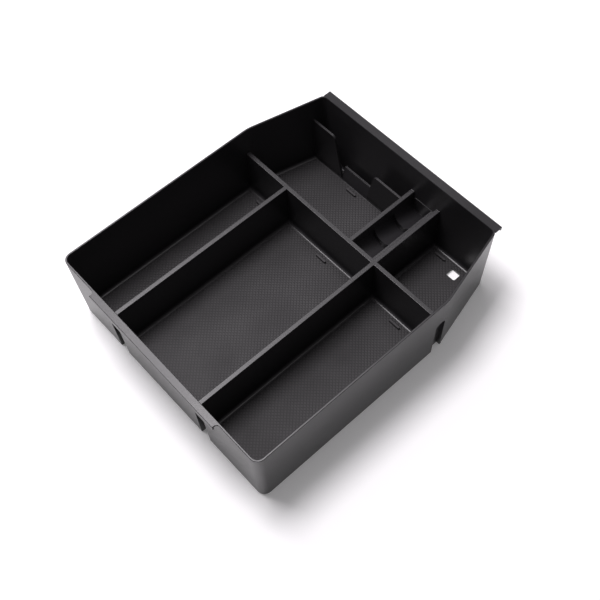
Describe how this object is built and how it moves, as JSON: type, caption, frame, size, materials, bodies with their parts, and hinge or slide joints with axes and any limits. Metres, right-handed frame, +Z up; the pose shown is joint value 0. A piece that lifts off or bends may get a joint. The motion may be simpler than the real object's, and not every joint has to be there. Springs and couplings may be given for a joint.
{
  "type": "center console organizer tray",
  "caption": "Open moulded vehicle console tray with a tapered rear, lipped flanges, divided compartments, stepped coin troughs, a card slot, a cable hole and loose textured mats.",
  "frame": {"origin": "on the surface the tray stands on, under the middle of its outer box", "axes": "+Z up, +X to the tray's right side, +Y to its rear, where the wall has the wider flange"},
  "size_m": [0.28, 0.3294, 0.089],
  "materials": {
    "tray": "black with a fine satin grain",
    "mat": "dark grey with a fine woven diamond pattern"
  },
  "bodies": {
    "root": {"tray_body": "tray", "mat_front_left": "mat", "mat_front_middle": "mat", "mat_front_right": "mat", "mat_rear_left": "mat", "mat_rear_right": "mat"}
  },
  "joints": []
}
